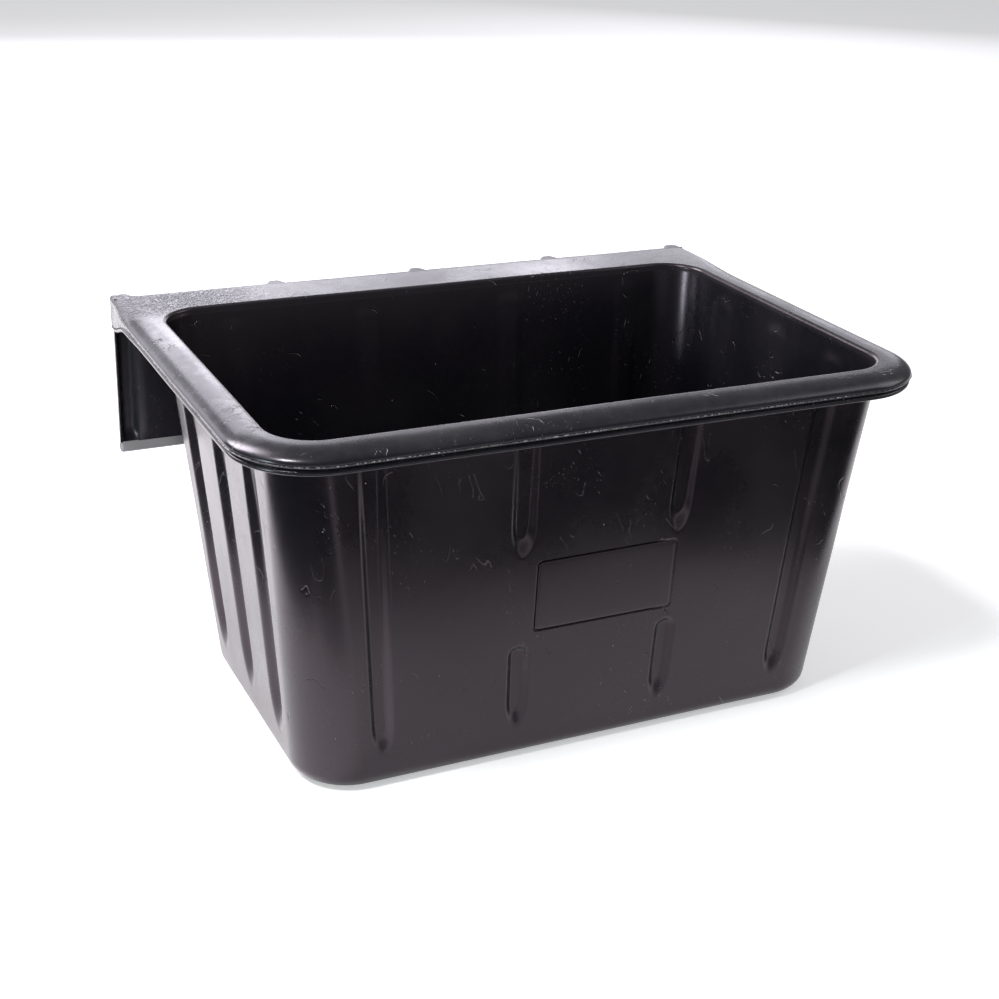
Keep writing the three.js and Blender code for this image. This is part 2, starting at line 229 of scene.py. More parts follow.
def add_camera():
    lens, sensor = 60.0, 36.0
    place = Vector((-0.418, MOUTH_Y * MM - 0.838, HEIGHT * MM + 0.2985))
    yaw, pitch, roll = (math.radians(angle) for angle in (-26.10, 23.29, 2.23))
    data = bpy.data.cameras.new("camera")
    data.lens = lens
    data.sensor_width = sensor
    camera = bpy.data.objects.new("camera", data)
    aim = Matrix.Rotation(yaw, 4, "Z") @ Matrix.Rotation(math.pi / 2 - pitch, 4, "X")
    turn = aim @ Matrix.Rotation(roll, 4, "Z")
    camera.matrix_world = Matrix.Translation(place) @ turn
    bpy.context.scene.collection.objects.link(camera)
    bpy.context.scene.camera = camera


# ---- Tub -------------------------------------------------------------------------------------------

WALLS = (
    {"along": (1, 0), "inward": (0, 1), "flutes": LONG_FLUTES, "form": LONG_FLUTE, "front": True},
    {"along": (0, 1), "inward": (-1, 0), "flutes": SHORT_FLUTES, "form": SHORT_FLUTE, "front": False},
    {"along": (-1, 0), "inward": (0, -1), "flutes": LONG_FLUTES, "form": LONG_FLUTE, "front": False},
    {"along": (0, -1), "inward": (1, 0), "flutes": SHORT_FLUTES, "form": SHORT_FLUTE, "front": False},
)


def tub_faces(z):
    """Outer faces of the tub at heights z, and the plan radius of its corners."""
    t = z / HEIGHT
    side = BASE_HALF_LENGTH + (HALF_LENGTH + REVEAL - BASE_HALF_LENGTH) * t
    front = BASE_FRONT + (-HALF_WIDTH - REVEAL - BASE_FRONT) * t
    rear = BASE_REAR + (HALF_WIDTH + REVEAL - BASE_REAR) * t
    radius = BASE_CORNER_RADIUS + (MOUTH_RADIUS + REVEAL - BASE_CORNER_RADIUS) * t
    return side, front, rear, radius


def wall_columns(wall):
    """Column places along a wall.

    Each is four factors: of the wall's tangent point, its reach, a flute's half width, and 1 mm.
    """
    def flute_edge(flute, side):
        return np.array((0, flute, side * wall["form"]["span"], 0))

    ends = np.array((1, 0, 0, 0))
    if wall["front"]:
        outer = LONG_FLUTES[-1]
        narrow, wide = (np.array((0, 0, 0, distance)) for distance in FINE_BAND)
        knots = [-ends, flute_edge(-outer, -1), flute_edge(-outer, 1), -wide, -narrow, narrow, wide]
        knots += [flute_edge(outer, -1), flute_edge(outer, 1), ends]
        parts = [5, 30, 10, 80, 22, 80, 10, 30, 5]  # columns from each knot to the next
    else:
        knots, parts = [-ends], []
        for flute in wall["flutes"]:
            knots += [flute_edge(flute, -1), flute_edge(flute, 1)]
            parts += [8, 30]
        knots.append(ends)
        parts.append(8)
    columns = [knots[0]]
    for a, b, n in zip(knots, knots[1:], parts):
        columns += [a + (b - a) * step / n for step in range(1, n + 1)]
    return np.array(columns)


def rounded_box_distance(x, y, half_x, half_y, radius):
    """Distance outside a rounded rectangle, negative inside."""
    dx = np.abs(x) - half_x + radius
    dy = np.abs(y) - half_y + radius
    outside = np.hypot(np.maximum(dx, 0), np.maximum(dy, 0))
    return outside + np.minimum(np.maximum(dx, dy), 0) - radius


def flute_depth(wall, along, z, reach, half_flute, spread):
    """How far the wall is pressed in at each place.

    A flute is a slot with round ends, and gets shallower towards its head. On the inner face, where
    spread isn't 0, the flutes show as softer and lower ribs.
    """
    inner = spread > 0
    form = wall["form"]
    full = form["depth"] * (1 - 0.4 * smooth((z - 140) / 60))
    if inner:
        full = np.maximum(full - WALL + FLUTE_SKIN, 0) * smooth((FLUTE_HEAD + spread - z) / 12)
    depth = np.zeros_like(along)
    for flute in wall["flutes"]:
        stretches = [(FLUTE_FOOT, FLUTE_HEAD)]
        if wall["front"] and abs(flute) < 0.5:
            stretches = [(FLUTE_FOOT, FLUTE_BREAK[0]), (FLUTE_BREAK[1], FLUTE_HEAD)]
        radius = half_flute * form["width"] + spread
        for low, high in stretches:
            over = np.maximum((low - spread - z) / FOOT_STRETCH + radius, 0)
            over = over + np.maximum(z - (high + spread - radius), 0)
            distance = np.hypot(along - flute * reach, over)
            rise = smooth((radius - distance) / (form["slope"] * (1.5 if inner else 1)))
            depth = np.maximum(depth, full * rise)
    return depth


def tub_rows(z, inset, spread, pocket):
    """The tub wall at heights z, inset from the outer face: an array of rows by columns by 3."""
    side, front, rear, radius = (value[:, None] for value in tub_faces(z))
    z = z[:, None]
    inset = inset[:, None]
    half_flute = FLUTE_HALF_WIDTH[0] + (FLUTE_HALF_WIDTH[1] - FLUTE_HALF_WIDTH[0]) * z / HEIGHT
    middle = np.stack([np.zeros_like(side), (front + rear) / 2], -1)
    half = np.stack([side, (rear - front) / 2], -1)
    blocks = []
    for number, wall in enumerate(WALLS):
        run, into = np.array(wall["along"]), np.array(wall["inward"])
        reach = np.abs(half @ run)
        depth = np.abs(half @ into)
        basis = np.stack([reach - radius, reach, half_flute, np.ones_like(reach)], -1)[:, 0]
        along = basis @ wall_columns(wall).T
        pressed = flute_depth(wall, along, z, reach, half_flute, spread)
        if pocket and wall["front"]:
            pressed = np.maximum(pressed, pocket_depth(along, z))
        deep = inset + pressed - depth
        flat = middle + along[..., None] * run + deep[..., None] * into
        blocks.append(np.dstack([flat, np.broadcast_to(z, along.shape)]))
        angles = -math.pi / 2 + (number + np.arange(1, CORNER_STEPS) / CORNER_STEPS) * math.pi / 2
        hub = middle + (reach - radius)[..., None] * run + (radius - depth)[..., None] * into
        bend = radius - inset
        corner = hub + bend[..., None] * np.stack([np.cos(angles), np.sin(angles)], -1)
        blocks.append(np.dstack([corner, np.broadcast_to(z, corner.shape[:2])]))
    return np.concatenate(blocks, axis=1)


def panel_frame():
    """Centre and half sizes of the blank panel, in x and z."""
    centre = (panel_low + panel_high) / 2
    half = (panel_high - panel_low) / 2
    return centre[0], centre[2], half[0], half[2]


def pocket_depth(along, z):
    """How far the pocket round the blank panel is pressed into the front wall."""
    x, height, half_x, half_z = panel_frame()
    half = (half_x + PANEL_GAP, half_z + PANEL_GAP)
    distance = rounded_box_distance(along - x, z - height, *half, PANEL_RADIUS)
    fade_from, fade_over = PANEL_FADE
    fade = 1 - 0.8 * smooth((along - x - half_x + fade_from) / fade_over)
    return PANEL_POCKET * fade * smooth(0.5 - distance / 0.7)


def base_rings(ring, level):
    """Rings that carry the tub's outline in towards the middle of its base, all at one level."""
    middle = ring.mean(axis=0)
    flat = np.array([middle + (ring - middle) * factor for factor in (0.93, 0.8, 0.6, 0.4, 0.2)])
    flat[..., 2] = level
    return flat


def add_tub(material):
    quarter = np.linspace(0, math.pi / 2, 9)
    _, panel_z, _, half_z = panel_frame()
    low, high = FLUTE_BREAK
    margin, run_out = 1.6, 24  # past the panel's outline, and up from a flute's foot
    panel_low_z, panel_high_z = panel_z - half_z, panel_z + half_z
    rows = spaced(
        (BASE_EDGE_RADIUS, FLUTE_FOOT - 1, 2.5),
        (FLUTE_FOOT - 1, FLUTE_FOOT + run_out, 0.8),
        (FLUTE_FOOT + run_out, low - 10, 5),
        (low - 10, low + 1, 0.7),
        (low + 1, panel_low_z - margin, 1.4),
        (panel_low_z - margin, panel_low_z + PANEL_RADIUS, 0.35),
        (panel_low_z + PANEL_RADIUS, panel_high_z - PANEL_RADIUS, 4),
        (panel_high_z - PANEL_RADIUS, panel_high_z + margin, 0.35),
        (panel_high_z + margin, high + run_out, 0.8),
        (high + run_out, FLUTE_HEAD - 9, 5),
        (FLUTE_HEAD - 9, FLUTE_HEAD, 0.8),
        (FLUTE_HEAD, HEIGHT - FLANGE, 2),
    )
    outer_z = np.append(BASE_EDGE_RADIUS * (1 - np.cos(quarter[:-1])), rows)
    outer_inset = np.append(BASE_EDGE_RADIUS * (1 - np.sin(quarter[:-1])), np.zeros_like(rows))
    outer = tub_rows(outer_z, outer_inset, 0, True)

    # The flange part of the mouth's edge: out at the seam, up its side, and over the round edge.
    over = np.linspace(math.pi / 2, math.pi, 9)
    lip_out = [REVEAL - SEAM, REVEAL - SEAM]
    edge_z = HEIGHT - MOUTH_EDGE_RADIUS + MOUTH_EDGE_RADIUS * np.sin(over)
    edge_inset = WALL - MOUTH_EDGE_RADIUS - MOUTH_EDGE_RADIUS * np.cos(over)
    top_z = np.concatenate([[HEIGHT - FLANGE, HEIGHT], edge_z])
    top = tub_rows(np.full_like(top_z, HEIGHT), np.concatenate([lip_out, edge_inset]), 0, False)
    top[..., 2] = top_z[:, None]

    inner_radius = BASE_EDGE_RADIUS - FLOOR
    inner_rows = spaced(
        (HEIGHT - MOUTH_EDGE_RADIUS - 1, FLUTE_HEAD + 2, 1.5),
        (FLUTE_HEAD + 2, FLUTE_HEAD - 10, 1),
        (FLUTE_HEAD - 10, high + 10, 6),
        (high + 10, high - 2, 1),
        (high - 2, low + 2, 6),
        (low + 2, low - 10, 1),
        (low - 10, FLUTE_FOOT + 9, 6),
        (FLUTE_FOOT + 9, FLUTE_FOOT - 3, 1),
        (FLUTE_FOOT - 3, FLOOR + inner_radius, 2.5),
    )
    inner_z = np.append(inner_rows, FLOOR + inner_radius * (1 - np.cos(quarter[-2::-1])))
    bottom_inset = WALL + inner_radius * (1 - np.sin(quarter[-2::-1]))
    inner_inset = np.append(np.full_like(inner_rows, WALL), bottom_inset)
    inner = tub_rows(inner_z, inner_inset, RIB_SPREAD, False)

    under = base_rings(outer[0], 0)[::-1]
    inside = base_rings(inner[-1], FLOOR)
    shell = np.concatenate([under, outer, top, inner, inside])
    rings, columns = shell.shape[:2]
    points = shell.reshape(-1, 3)
    faces = grid_faces(rings, columns, True)
    for ring, row in ((under[0], 0), (inside[-1], rings - 1)):
        centre = len(points)
        points = np.append(points, [ring.mean(axis=0)], axis=0)
        start = row * columns
        fan = [(centre, start + (c + 1) % columns, start + c) for c in range(columns)]
        faces += fan if row == 0 else [triangle[::-1] for triangle in fan]
    make_piece("tub", points, faces, material, ["tub_shell"])


def add_panel(material):
    """The blank panel that the mould's insert leaves, a hair below the front wall's face."""
    x, height, half_x, half_z = panel_frame()
    steps = 10
    rings = []
    thickness = 0.9
    profile = [(PANEL_GAP, thickness), (PANEL_GAP, 0.5)]  # inset from its outline, and depth
    profile += [(PANEL_GAP + 0.12, 0.28), (PANEL_GAP + 0.4, 0.14), (2, 0.1)]
    for inset, sink in profile:
        ring = []
        radius = PANEL_RADIUS - min(inset, PANEL_RADIUS - 0.5)
        for corner, (sx, sz) in enumerate(((1, 1), (-1, 1), (-1, -1), (1, -1))):
            for step in range(steps + 1):
                angle = (corner + step / steps) * math.pi / 2
                px = sx * (half_x - inset - radius) + radius * math.cos(angle)
                pz = sz * (half_z - inset - radius) + radius * math.sin(angle)
                ring.append((x + px, sink, height + pz))
        rings.append(ring)
    points = np.array(rings)
    for factor in (0.75, 0.5, 0.25):
        shrunk = np.array(rings[-1])
        shrunk[:, 0] = x + (shrunk[:, 0] - x) * factor
        shrunk[:, 2] = height + (shrunk[:, 2] - height) * factor
        points = np.concatenate([points, [shrunk]])
    count, columns = points.shape[:2]
    front = tub_faces(points[..., 2])[1]
    points[..., 1] += front
    flat = points.reshape(-1, 3)
    faces = grid_faces(count, columns, True)
    faces.append(tuple(range(columns))[::-1])
    faces.append(tuple((count - 1) * columns + c for c in range(columns)))
    make_piece("label_panel_blank", flat, faces, material, ["label_panel"])


# ---- Rim --------------------------------------------------------------------------------------------

def mouth_path():
    """Stations along the mouth's edge from the hook round the front: x, y and the outward angle."""
    step = 1.1
    arm = spaced((EAR_REAR, EAR_REAR - EAR_ROUND, 0.3), (EAR_REAR - EAR_ROUND, -HUB[1], step))
    stations = [(-HALF_LENGTH, y, math.pi) for y in arm[:-1]]
    for side in (-1, 1):
        for number in range(CORNER_STEPS + 1):
            angle = (math.pi if side < 0 else 1.5 * math.pi) + number / CORNER_STEPS * math.pi / 2
            x = side * HUB[0] + MOUTH_RADIUS * math.cos(angle)
            stations.append((x, -HUB[1] + MOUTH_RADIUS * math.sin(angle), angle))
        if side < 0:
            stations += [(x, -HALF_WIDTH, 1.5 * math.pi) for x in spaced((-HUB[0], HUB[0], step))[1:-1]]
    stations += [(HALF_LENGTH, y, 2 * math.pi) for y in arm[::-1][1:]]
    return np.array(stations)


def rim_flare(y):
    """How far the rim's arms have changed into the ears at y, from 0 to 1: their foot and their crown."""
    foot = smooth((y - (HOOK_INNER - 46)) / 46) ** 1.5
    crown = smooth((y - (HOOK_INNER - 78)) / 74)
    return np.stack([foot, crown], -1)


def rim_section(flare):
    """Outside and underside of the rim's section, as points of (outward, up) from the mouth's edge.

    flare is the pair that rim_flare gives. With the first, the foot hangs lower and the rim draws in
    to the hook plate's end. With the second, the crown gets squarer.
    """
    hang, square = flare
    out = OVERHANG - 0.55 - hang * (HALF_LENGTH + OVERHANG - HOOK_HALF_LENGTH - 0.9)
    run = 15.6 - 12.4 * square
    drop = 6.3 - 3.0 * square
    foot = -(RIM_DROP + hang * (HEIGHT - GUSSET_FOOT - RIM_DROP))
    crown = np.linspace(math.pi / 2, 0.12, 18)
    under = np.linspace(-0.12, -0.75, 5)
    bead = np.linspace(math.radians(75), math.radians(-90), 9)
    bead_radius = 1.35
    back = 2.1 - 1.9 * square
    outside = [(SEAM, 0), (1.4, 0), (out - run, 0)]
    outside += [(out - run + run * math.cos(a), -drop + drop * math.sin(a)) for a in crown[1:]]
    outside += [(out - 2.7 * back * (1 - math.cos(a)), -drop + 3.2 * math.sin(a)) for a in under]
    outside += [(out - back, foot + 2 * bead_radius + 0.25)]
    centre = out - max(back, bead_radius + 0.1)
    outside += [
        (centre + bead_radius * math.cos(a), foot + bead_radius + bead_radius * math.sin(a)) for a in bead
    ]
    outside += [(out - 3.4, foot)]
    count = len(outside)
    reach = out - 4.2
    depth = 2.6 + drop * 0.6
    curve = np.linspace(math.pi / 2, 0, count - 6)
    inside = [(SEAM, -FLANGE), (2, -FLANGE)]
    inside += [(4 + (reach - 4) * math.cos(a), -FLANGE - depth + depth * math.sin(a)) for a in curve]
    inner_foot = inside[-1][1]
    inside += [(reach, inner_foot + (foot - inner_foot) * t) for t in (0.3, 0.6, 0.85)]
    inside += [(out - 4.0, foot + 0.1)]
    return np.array(outside), np.array(inside)


def add_rim(material):
    path = mouth_path()
    rings = []
    for (x, y, angle), flare in zip(path, rim_flare(path[:, 1])):
        outside, inside = rim_section(flare)
        loop = np.concatenate([outside, inside[::-1]])
        if y > DECK_REAR:
            # Behind the deck only the ear goes on. Its end is round.
            out = loop[:, 0].max()
            start = SEAM + (out - EAR_WIDTH - SEAM) * smooth((y - DECK_REAR) / 5)
            late = max(0, (y - EAR_REAR + EAR_ROUND) / EAR_ROUND)
            shrink = EAR_ROUND * (1 - math.sqrt(max(0, 1 - min(1, late) ** 2)))
            loop[:, 0] = np.clip(loop[:, 0], start, out - shrink)
            loop[:, 1] = np.clip(loop[:, 1], loop[:, 1].min() + shrink, -shrink)
        rings.append(np.stack([
            x + loop[:, 0] * math.cos(angle), y + loop[:, 0] * math.sin(angle), HEIGHT + loop[:, 1],
        ], -1))
    rings = np.array(rings)
    count, around = rings.shape[:2]
    faces = grid_faces(count, around, True)
    half = around // 2
    for start, reverse in ((0, False), ((count - 1) * around, True)):
        for i in range(half - 1):
            quad = (start + i, start + i + 1, start + around - 2 - i, start + around - 1 - i)
            faces.append(quad[::-1] if reverse else quad)
    nodes = ["rolled_rim", "left_gusset", "right_gusset"]
    make_piece("rim", rings.reshape(-1, 3), faces, material, nodes)


def add_flash(material):
    """The ragged flash that the mould's parting line leaves round the outside of the rim."""
    path = mouth_path()
    path = path[path[:, 1] < HOOK_INNER - 8]
    rng = np.random.default_rng(5)
    along = np.arange(len(path))
    ragged = np.convolve(rng.uniform(0, 1, len(path) + 4), np.ones(3) / 3, "same")[:len(path)]
    patches = smooth(0.5 + 1.6 * np.sin(along / 37) * np.sin(along / 23 + 1))
    proud = 0.06 + 0.46 * ragged * (0.25 + 0.75 * patches)
    proud *= 1 - smooth((path[:, 1] - HOOK_INNER + 40) / 30)
    wanders = rng.normal(0, 0.12, len(path))
    rings = []
    for (x, y, angle), flare, reach, wander in zip(path, rim_flare(path[:, 1]), proud, wanders):
        outside, _ = rim_section(flare)
        widest = outside[np.argmax(outside[:, 0])]
        level = widest[1] + 0.35 * wander
        thick = 0.14 + 0.3 * reach
        shoulder = reach * 0.6
        section = ((-0.5, thick), (shoulder, thick * 0.6), (reach, 0), (shoulder, -thick), (-0.5, -thick))
        rings.append([
            (
                x + (widest[0] + out) * math.cos(angle),
                y + (widest[0] + out) * math.sin(angle),
                HEIGHT + level + up,
            )
            for out, up in section
        ])
    rings = np.array(rings)
    count, around = rings.shape[:2]
    faces = grid_faces(count, around, True)
    faces.append(tuple(range(around)))
    faces.append(tuple((count - 1) * around + i for i in range(around))[::-1])
    make_piece("parting_flash", rings.reshape(-1, 3), faces, material)


# ---- Deck and hook ------------------------------------------------------------------------------------

def add_deck(material):
    """The flat deck behind the mouth, from the mouth's rear edge and corners to the hook's bend."""
    angles = np.linspace(0, math.pi / 2, CORNER_STEPS + 1)
    bend = MOUTH_RADIUS + SEAM
    right = [(HUB[0] + bend * math.cos(a), HUB[1] + bend * math.sin(a)) for a in angles]
    middle = [(x, HALF_WIDTH + SEAM) for x in spaced((HUB[0], -HUB[0], 4))[1:-1]]
    left = [(-x, y) for x, y in right[::-1]]
    front = np.array(right + middle + left)
    steps = np.linspace(0, 1, 13)
    top = np.array([[(x, y + (DECK_REAR - y) * t, HEIGHT) for x, y in front] for t in steps])
    under = top[::-1].copy()
    under[..., 2] -= FLANGE
    rows = np.concatenate([top, under])
    count, columns = rows.shape[:2]
    faces = grid_faces(count, columns, False)
    last = (count - 1) * columns
    faces += [(last + c, last + c + 1, c + 1, c) for c in range(columns - 1)]
    depth = len(steps)
    for column in (0, columns - 1):
        for r in range(depth - 1):
            quad = [k * columns + column for k in (r, r + 1, count - 2 - r, count - 1 - r)]
            faces.append(tuple(quad) if column else tuple(quad[::-1]))
    make_piece("deck", rows.reshape(-1, 3), faces, material, ["hanger_deck"])


def rib_profile(x):
    """How far the hook sheet stands out at x, as a part of the ribs' full height."""
    nearest = np.round(x / RIB_PITCH).clip(-2, 2) * RIB_PITCH
    return smooth((RIB_HALF_WIDTH - np.abs(x - nearest)) / 4.2)


def add_hook(material):
    """The corrugated hook sheet: from the deck over a round bend and down to its lip."""
    bend = HOOK_BEND
    round_steps = np.linspace(math.pi / 2, 0, 13)
    foot = lip_high[2] - 1
    fall = spaced((HEIGHT - bend, foot, 3.2))[1:]
    centre_y, centre_z = HOOK_OUTER - bend, HEIGHT - bend
    path = [(DECK_REAR, HEIGHT, 0, 1)]
    for cosine, sine in zip(np.cos(round_steps), np.sin(round_steps)):
        path.append((centre_y + bend * cosine, centre_z + bend * sine, cosine, sine))
    path += [(HOOK_OUTER, z, 1, 0) for z in fall]
    path = np.array(path)
    rise = smooth((path[:, 0] - centre_y + 0.5) / bend)
    rise *= smooth((path[:, 1] - foot + 1) / 7)
    ribs = [number * RIB_PITCH for number in range(-2, 3)]
    end = HOOK_HALF_LENGTH - 0.5
    stretches, at = [], -end
    for rib in ribs:
        low, high = max(rib - RIB_HALF_WIDTH, 0.4 - end), min(rib + RIB_HALF_WIDTH, end - 0.4)
        stretches += [(at, low, 6), (low, high, 0.65)]
        at = high
    columns = spaced(*stretches, (at, end, 6))
    profile = rib_profile(columns)
    rows = []
    for offset in (0, FLANGE):
        surface = []
        for (y, z, ny, nz), lift in zip(path, rise):
            out = (RIB_PROUD - 0.2) * lift * profile - offset
            surface.append(np.stack([columns, y + ny * out, np.minimum(z + nz * out, HEIGHT)], -1))
        rows.append(np.array(surface))
    outer, inner = rows
    inner[..., 1] = np.where(inner[..., 1] < DECK_REAR, DECK_REAR, inner[..., 1])
    sheet = np.concatenate([outer, inner[::-1]])
    count, across = sheet.shape[:2]
    faces = grid_faces(count, across, False)
    last = (count - 1) * across
    faces += [(last + c, last + c + 1, c + 1, c) for c in range(across - 1)]
    half = count // 2
    for column in (0, across - 1):
        for r in range(half - 1):
            quad = [k * across + column for k in (r, r + 1, count - 2 - r, count - 1 - r)]
            faces.append(tuple(quad) if column else tuple(quad[::-1]))
    make_piece("hook", sheet.reshape(-1, 3), faces, material, ["hook_plate"])


def add_lip(material):
    """The lip along the hook's foot. Its inner side slopes out of the sheet, and its ends are round."""
    foot, top = lip_low[2], lip_high[2]
    front = lip_low[1] - MOUTH_Y
    outline = [(HOOK_OUTER, top - 1.4), (HOOK_OUTER - 0.3, top - 0.9), (HOOK_INNER + 0.3, top - 0.2)]
    outline += [(HOOK_INNER - 0.2, top - 0.9), (front + 0.9, top - 3.4)]
    outline += [(front + 0.15, top - 4.4), (front, foot + 1.6)]
    outline += [(front + 0.5, foot + 0.5), (front + 1.7, foot)]
    outline += [(HOOK_OUTER - 1.6, foot), (HOOK_OUTER - 0.5, foot + 0.5), (HOOK_OUTER, foot + 1.7)]
    section = np.array(outline)
    around = len(section)
    middle = section.mean(axis=0)
    ends = [(0.0, 0.55), (0.3, 0.8), (0.9, 0.94), (LIP_END, 1.0)]  # distance from the end, and size
    places = [(-HOOK_HALF_LENGTH + depth, size) for depth, size in ends]
    straight = (-HOOK_HALF_LENGTH + LIP_END, HOOK_HALF_LENGTH - LIP_END, 6)
    places += [(x, 1.0) for x in spaced(straight)[1:-1]]
    places += [(HOOK_HALF_LENGTH - depth, size) for depth, size in ends[::-1]]
    rings = np.array([
        [(x, *(middle + (point - middle) * size)) for point in section] for x, size in places
    ])
    count = len(rings)
    faces = grid_faces(count, around, True)
    faces.append(tuple(range(around)))
    faces.append(tuple((count - 1) * around + i for i in range(around))[::-1])
    points = rings.reshape(-1, 3)
    make_piece("hook_lip_bead", points, faces, material, ["hook_lip"], sharp=50)


# ---- Materials ----------------------------------------------------------------------------------------

WARM = (1.0, 0.81, 0.91)  # colours that the gloss takes: the tub's is warmer than the rim's and the hook's
COOL = (0.96, 0.90, 1.0)


class Nodes:
    """Short ways to add shader nodes and join them."""

    def __init__(self, name):
        self.material = bpy.data.materials.new(name)
        self.material.use_nodes = True
        self.tree = self.material.node_tree
        self.shader = self.tree.nodes["Principled BSDF"]

    def add(self, kind, inputs=None, **settings):
        node = self.tree.nodes.new(kind)
        for key, value in settings.items():
            setattr(node, key, value)
        for key, value in (inputs or {}).items():
            if isinstance(value, bpy.types.NodeSocket):
                self.tree.links.new(value, node.inputs[key])
            else:
                node.inputs[key].default_value = value
        return node

    def math(self, operation, a, b=0.0, clamp=False):
        return self.add("ShaderNodeMath", {0: a, 1: b}, operation=operation, use_clamp=clamp).outputs[0]

    def ramp(self, value, low, high, to_low=0.0, to_high=1.0):
        inputs = {"Value": value, "From Min": low, "From Max": high, "To Min": to_low, "To Max": to_high}
        return self.add("ShaderNodeMapRange", inputs, interpolation_type="SMOOTHSTEP").outputs["Result"]

    def mix(self, factor, a, b):
        node = self.add("ShaderNodeMix", data_type="RGBA")
        for socket, value in ((node.inputs["Factor"], factor), (node.inputs[6], a), (node.inputs[7], b)):
            if isinstance(value, bpy.types.NodeSocket):
                self.tree.links.new(value, socket)
            else:
                socket.default_value = value
        return node.outputs[2]

    def noise(self, where, scale, detail=2.0, roughness=0.5):
        inputs = {"Vector": where, "Scale": scale, "Detail": detail, "Roughness": roughness}
        return self.add("ShaderNodeTexNoise", inputs).outputs["Fac"]

    def stretched(self, where, turn, length, width):
        """Coordinates turned, then drawn out along one axis. length and width are a cell's, in metres."""
        inputs = {"Vector": where, "Rotation": turn, "Scale": (length, width, width)}
        return self.add("ShaderNodeMapping", inputs, vector_type="TEXTURE").outputs["Vector"]

    def specks(self, where, cell, share, size):
        """Round specks: one cell in so many holds one. cell and size are in metres."""
        voronoi = self.add("ShaderNodeTexVoronoi", {"Vector": where, "Scale": 1 / cell, "Randomness": 1.0})
        tint = self.add("ShaderNodeSeparateColor", {"Color": voronoi.outputs["Color"]})
        chosen = self.math("GREATER_THAN", tint.outputs[0], 1 - share)
        radius = self.math("MULTIPLY", tint.outputs[1], size / cell)
        inside = self.math("LESS_THAN", voronoi.outputs["Distance"], radius)
        return self.math("MULTIPLY", chosen, inside)

    def link(self, output, socket):
        self.tree.links.new(output, self.shader.inputs[socket])


def grey(value, red=1.0, green=1.0, blue=1.0):
    return (value * red, value * green, value * blue, 1.0)


